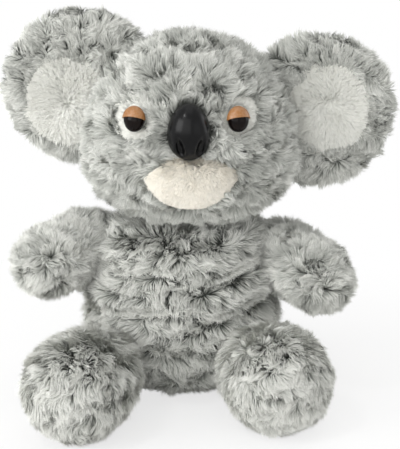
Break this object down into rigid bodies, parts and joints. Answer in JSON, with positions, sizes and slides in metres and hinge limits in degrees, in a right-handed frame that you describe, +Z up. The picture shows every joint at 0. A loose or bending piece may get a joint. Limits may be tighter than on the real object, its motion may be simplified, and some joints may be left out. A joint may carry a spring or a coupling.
{
  "type": "plush koala",
  "caption": "Seated stuffed koala with long grey pile, big round ears, moulded nose and half-lidded eyes; the head, ears, arms and legs move at their seams",
  "frame": {"origin": "on the surface the toy sits on, in the middle of the flat under the torso", "axes": "+Z up, the toy faces -Y, its left side is +X and its right side is -X"},
  "size_m": [0.245, 0.1703, 0.244],
  "materials": {
    "grey_plush": "long grey pile with frosted tips",
    "white_pile": "short white pile",
    "filling": "loose polyester fibre",
    "nose_plastic": "satin black moulding",
    "eye_plastic": "glossy brown black",
    "lid_plastic": "tan satin moulding",
    "washer_plastic": "milky white moulding",
    "thread": "grey polyester thread"
  },
  "bodies": {
    "torso": {"torso_skin": "grey_plush", "torso_filling": "filling", "closing_thread": "thread"},
    "neck": {"neck_stitching": "thread"},
    "head": {"head_skin": "grey_plush", "head_filling": "filling", "muzzle_patch": "white_pile", "nose": "nose_plastic", "nose_washer": "washer_plastic", "right_eye_patch": "white_pile", "left_eye_patch": "white_pile", "right_eye": "eye_plastic", "left_eye": "eye_plastic", "right_eyelid": "lid_plastic", "left_eyelid": "lid_plastic", "right_eye_washer": "washer_plastic", "left_eye_washer": "washer_plastic"},
    "right_ear": {"right_ear_skin": "grey_plush", "right_ear_filling": "filling", "right_ear_patch": "white_pile"},
    "left_ear": {"left_ear_skin": "grey_plush", "left_ear_filling": "filling", "left_ear_patch": "white_pile"},
    "right_arm": {"right_arm_skin": "grey_plush", "right_arm_filling": "filling"},
    "left_arm": {"left_arm_skin": "grey_plush", "left_arm_filling": "filling"},
    "right_leg": {"right_leg_skin": "grey_plush", "right_leg_filling": "filling"},
    "left_leg": {"left_leg_skin": "grey_plush", "left_leg_filling": "filling"}
  },
  "joints": [
    {"name": "head_turn", "type": "hinge", "parent": "torso", "child": "neck", "pos_m": [0.003, -0.005, 0.113], "axis": [0, 0, 1], "range_deg": [-30, 30], "stiffness_Nm_per_rad": 0.12},
    {"name": "head_nod", "type": "hinge", "parent": "neck", "child": "head", "pos_m": [0.003, -0.005, 0.153], "axis": [1, 0, 0], "range_deg": [-5, 5], "stiffness_Nm_per_rad": 0.5},
    {"name": "right_ear_fold", "type": "hinge", "parent": "head", "child": "right_ear", "pos_m": [-0.056, 0.006, 0.189], "axis": [0.342, 0, 0.9397], "range_deg": [-12, 15], "stiffness_Nm_per_rad": 0.04},
    {"name": "left_ear_fold", "type": "hinge", "parent": "head", "child": "left_ear", "pos_m": [0.0705, 0.006, 0.178], "axis": [-0.2079, 0, 0.9781], "range_deg": [-15, 12], "stiffness_Nm_per_rad": 0.04},
    {"name": "right_arm_lift", "type": "hinge", "parent": "torso", "child": "right_arm", "pos_m": [-0.06, -0.002, 0.096], "axis": [0, 1, 0], "range_deg": [-8, 30], "stiffness_Nm_per_rad": 0.15},
    {"name": "left_arm_lift", "type": "hinge", "parent": "torso", "child": "left_arm", "pos_m": [0.062, -0.002, 0.09], "axis": [0, 1, 0], "range_deg": [-30, 6], "stiffness_Nm_per_rad": 0.15},
    {"name": "right_leg_swing", "type": "hinge", "parent": "torso", "child": "right_leg", "pos_m": [-0.0465, -0.043, 0.029], "axis": [1, 0, 0], "range_deg": [-25, 20], "stiffness_Nm_per_rad": 0.2},
    {"name": "left_leg_swing", "type": "hinge", "parent": "torso", "child": "left_leg", "pos_m": [0.0465, -0.042, 0.029], "axis": [1, 0, 0], "range_deg": [-22, 20], "stiffness_Nm_per_rad": 0.2}
  ]
}
